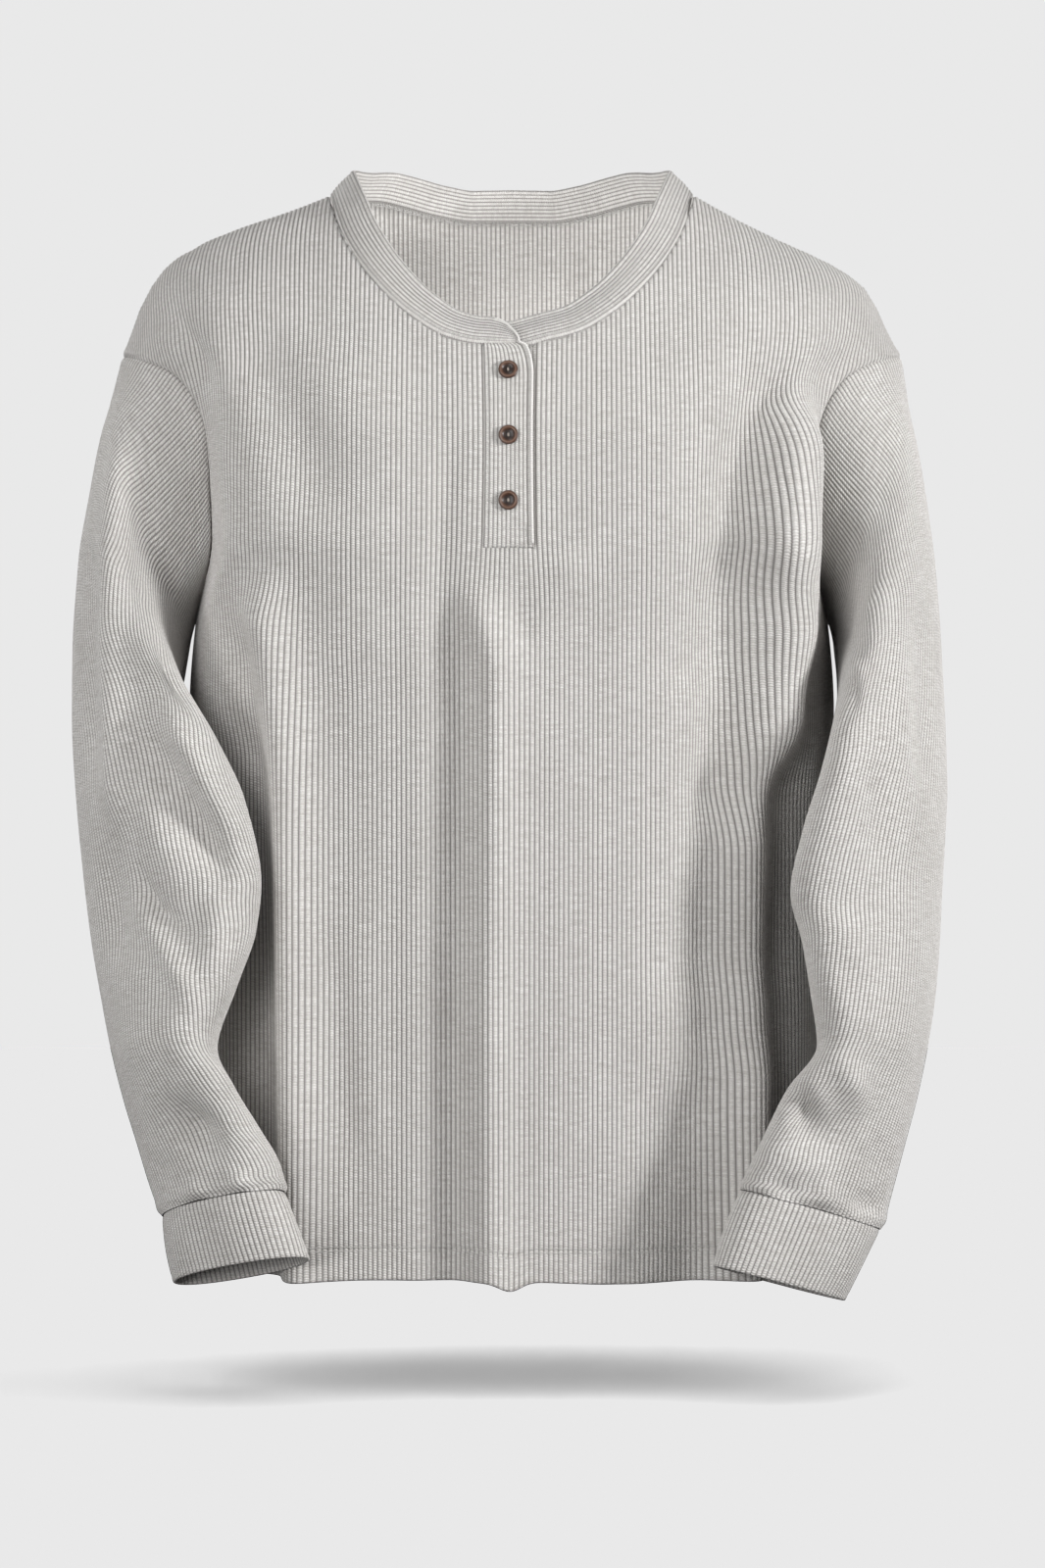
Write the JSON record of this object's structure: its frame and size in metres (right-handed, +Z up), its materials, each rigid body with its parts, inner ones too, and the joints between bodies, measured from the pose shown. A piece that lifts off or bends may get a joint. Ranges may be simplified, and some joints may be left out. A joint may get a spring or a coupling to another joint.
{
  "type": "henley shirt",
  "caption": "Long-sleeved henley shirt in light heather-grey rib knit with a round neckband, a buttoned placket and ribbed cuffs, hollow and filled out as worn",
  "frame": {"origin": "between the two side-neck seams, where the wearer's neck and shoulders hold the shirt up", "axes": "+Z up, the front faces -Y, +X to the right of a viewer in front of it, which is the wearer's left"},
  "size_m": [0.557, 0.2845, 0.7176],
  "materials": {
    "front_knit": "matt rib knit in light heather grey",
    "back_knit": "matt rib knit in light heather grey",
    "sleeve_left_knit": "matt rib knit in light heather grey",
    "sleeve_right_knit": "matt rib knit in light heather grey",
    "cuff_left_knit": "matt rib knit in light heather grey",
    "cuff_right_knit": "matt rib knit in light heather grey",
    "neckband_knit": "matt rib knit in light heather grey",
    "placket_top_knit": "matt rib knit in light heather grey",
    "placket_under_knit": "matt rib knit in light heather grey",
    "button_horn": "dark brown horn look, half gloss"
  },
  "bodies": {
    "root": {"front": "front_knit", "back": "back_knit", "sleeve_left": "sleeve_left_knit", "sleeve_right": "sleeve_right_knit", "cuff_left": "cuff_left_knit", "cuff_right": "cuff_right_knit", "neckband": "neckband_knit", "placket_top": "placket_top_knit", "placket_under": "placket_under_knit", "button_1": "button_horn", "button_2": "button_horn", "button_3": "button_horn"}
  },
  "joints": []
}
